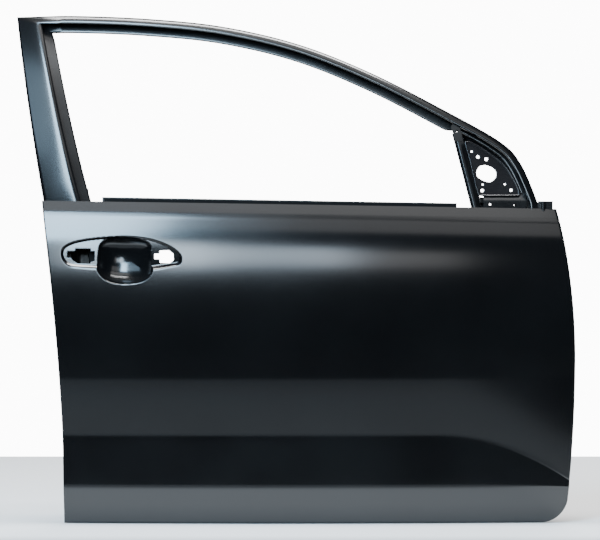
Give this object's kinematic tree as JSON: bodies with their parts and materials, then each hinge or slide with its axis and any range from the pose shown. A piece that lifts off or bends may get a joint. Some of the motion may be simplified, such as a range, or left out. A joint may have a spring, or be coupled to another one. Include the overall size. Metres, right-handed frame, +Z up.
{
  "type": "car door shell",
  "caption": "Pressed-steel front door shell of a car, right-hand side: skin, inner panel, window frame with mirror plate, and reinforcements.",
  "frame": {"origin": "centre of the upper hinge's mounting face, on the front wall of the door", "axes": "+X forward along the car and out of the hinge face, -Y outboard towards the viewer of the picture, +Z up"},
  "size_m": [1.188, 0.2163, 1.0798],
  "materials": {
    "ecoat_skin": "satin black electrocoat primer on pressed steel",
    "ecoat_inner": "satin black electrocoat primer on pressed steel",
    "ecoat_nut": "black electrocoat primer on weld nuts",
    "sealer": "matt black baked sealer"
  },
  "bodies": {
    "root": {"outer_panel": "ecoat_skin", "inner_panel": "ecoat_inner", "window_frame_outer": "ecoat_skin", "window_frame_inner": "ecoat_inner", "division_bar": "ecoat_inner", "rear_glass_run": "ecoat_inner", "mirror_plate": "ecoat_skin", "sail_inner_panel": "ecoat_inner", "sail_base_bracket": "ecoat_inner", "front_belt_tab": "ecoat_inner", "belt_reinforcement_outer": "ecoat_inner", "belt_reinforcement_inner": "ecoat_inner", "handle_reinforcement": "ecoat_inner", "impact_beam": "ecoat_inner", "impact_beam_front_bracket": "ecoat_inner", "impact_beam_rear_bracket": "ecoat_inner", "anti_flutter_pad_1": "sealer", "anti_flutter_pad_2": "sealer", "anti_flutter_pad_3": "sealer", "anti_flutter_pad_4": "sealer", "upper_hinge_reinforcement": "ecoat_inner", "lower_hinge_reinforcement": "ecoat_inner", "check_strap_reinforcement": "ecoat_inner", "upper_hinge_nut_1": "ecoat_nut", "upper_hinge_nut_2": "ecoat_nut", "lower_hinge_nut_1": "ecoat_nut", "lower_hinge_nut_2": "ecoat_nut", "latch_reinforcement": "ecoat_inner", "front_run_bracket": "ecoat_inner", "rear_run_bracket": "ecoat_inner", "frame_rear_bracket": "ecoat_inner", "frame_front_bracket": "ecoat_inner", "pull_handle_bracket": "ecoat_inner", "regulator_nut_1": "ecoat_nut", "regulator_nut_2": "ecoat_nut", "regulator_nut_3": "ecoat_nut", "regulator_nut_4": "ecoat_nut"}
  },
  "joints": []
}
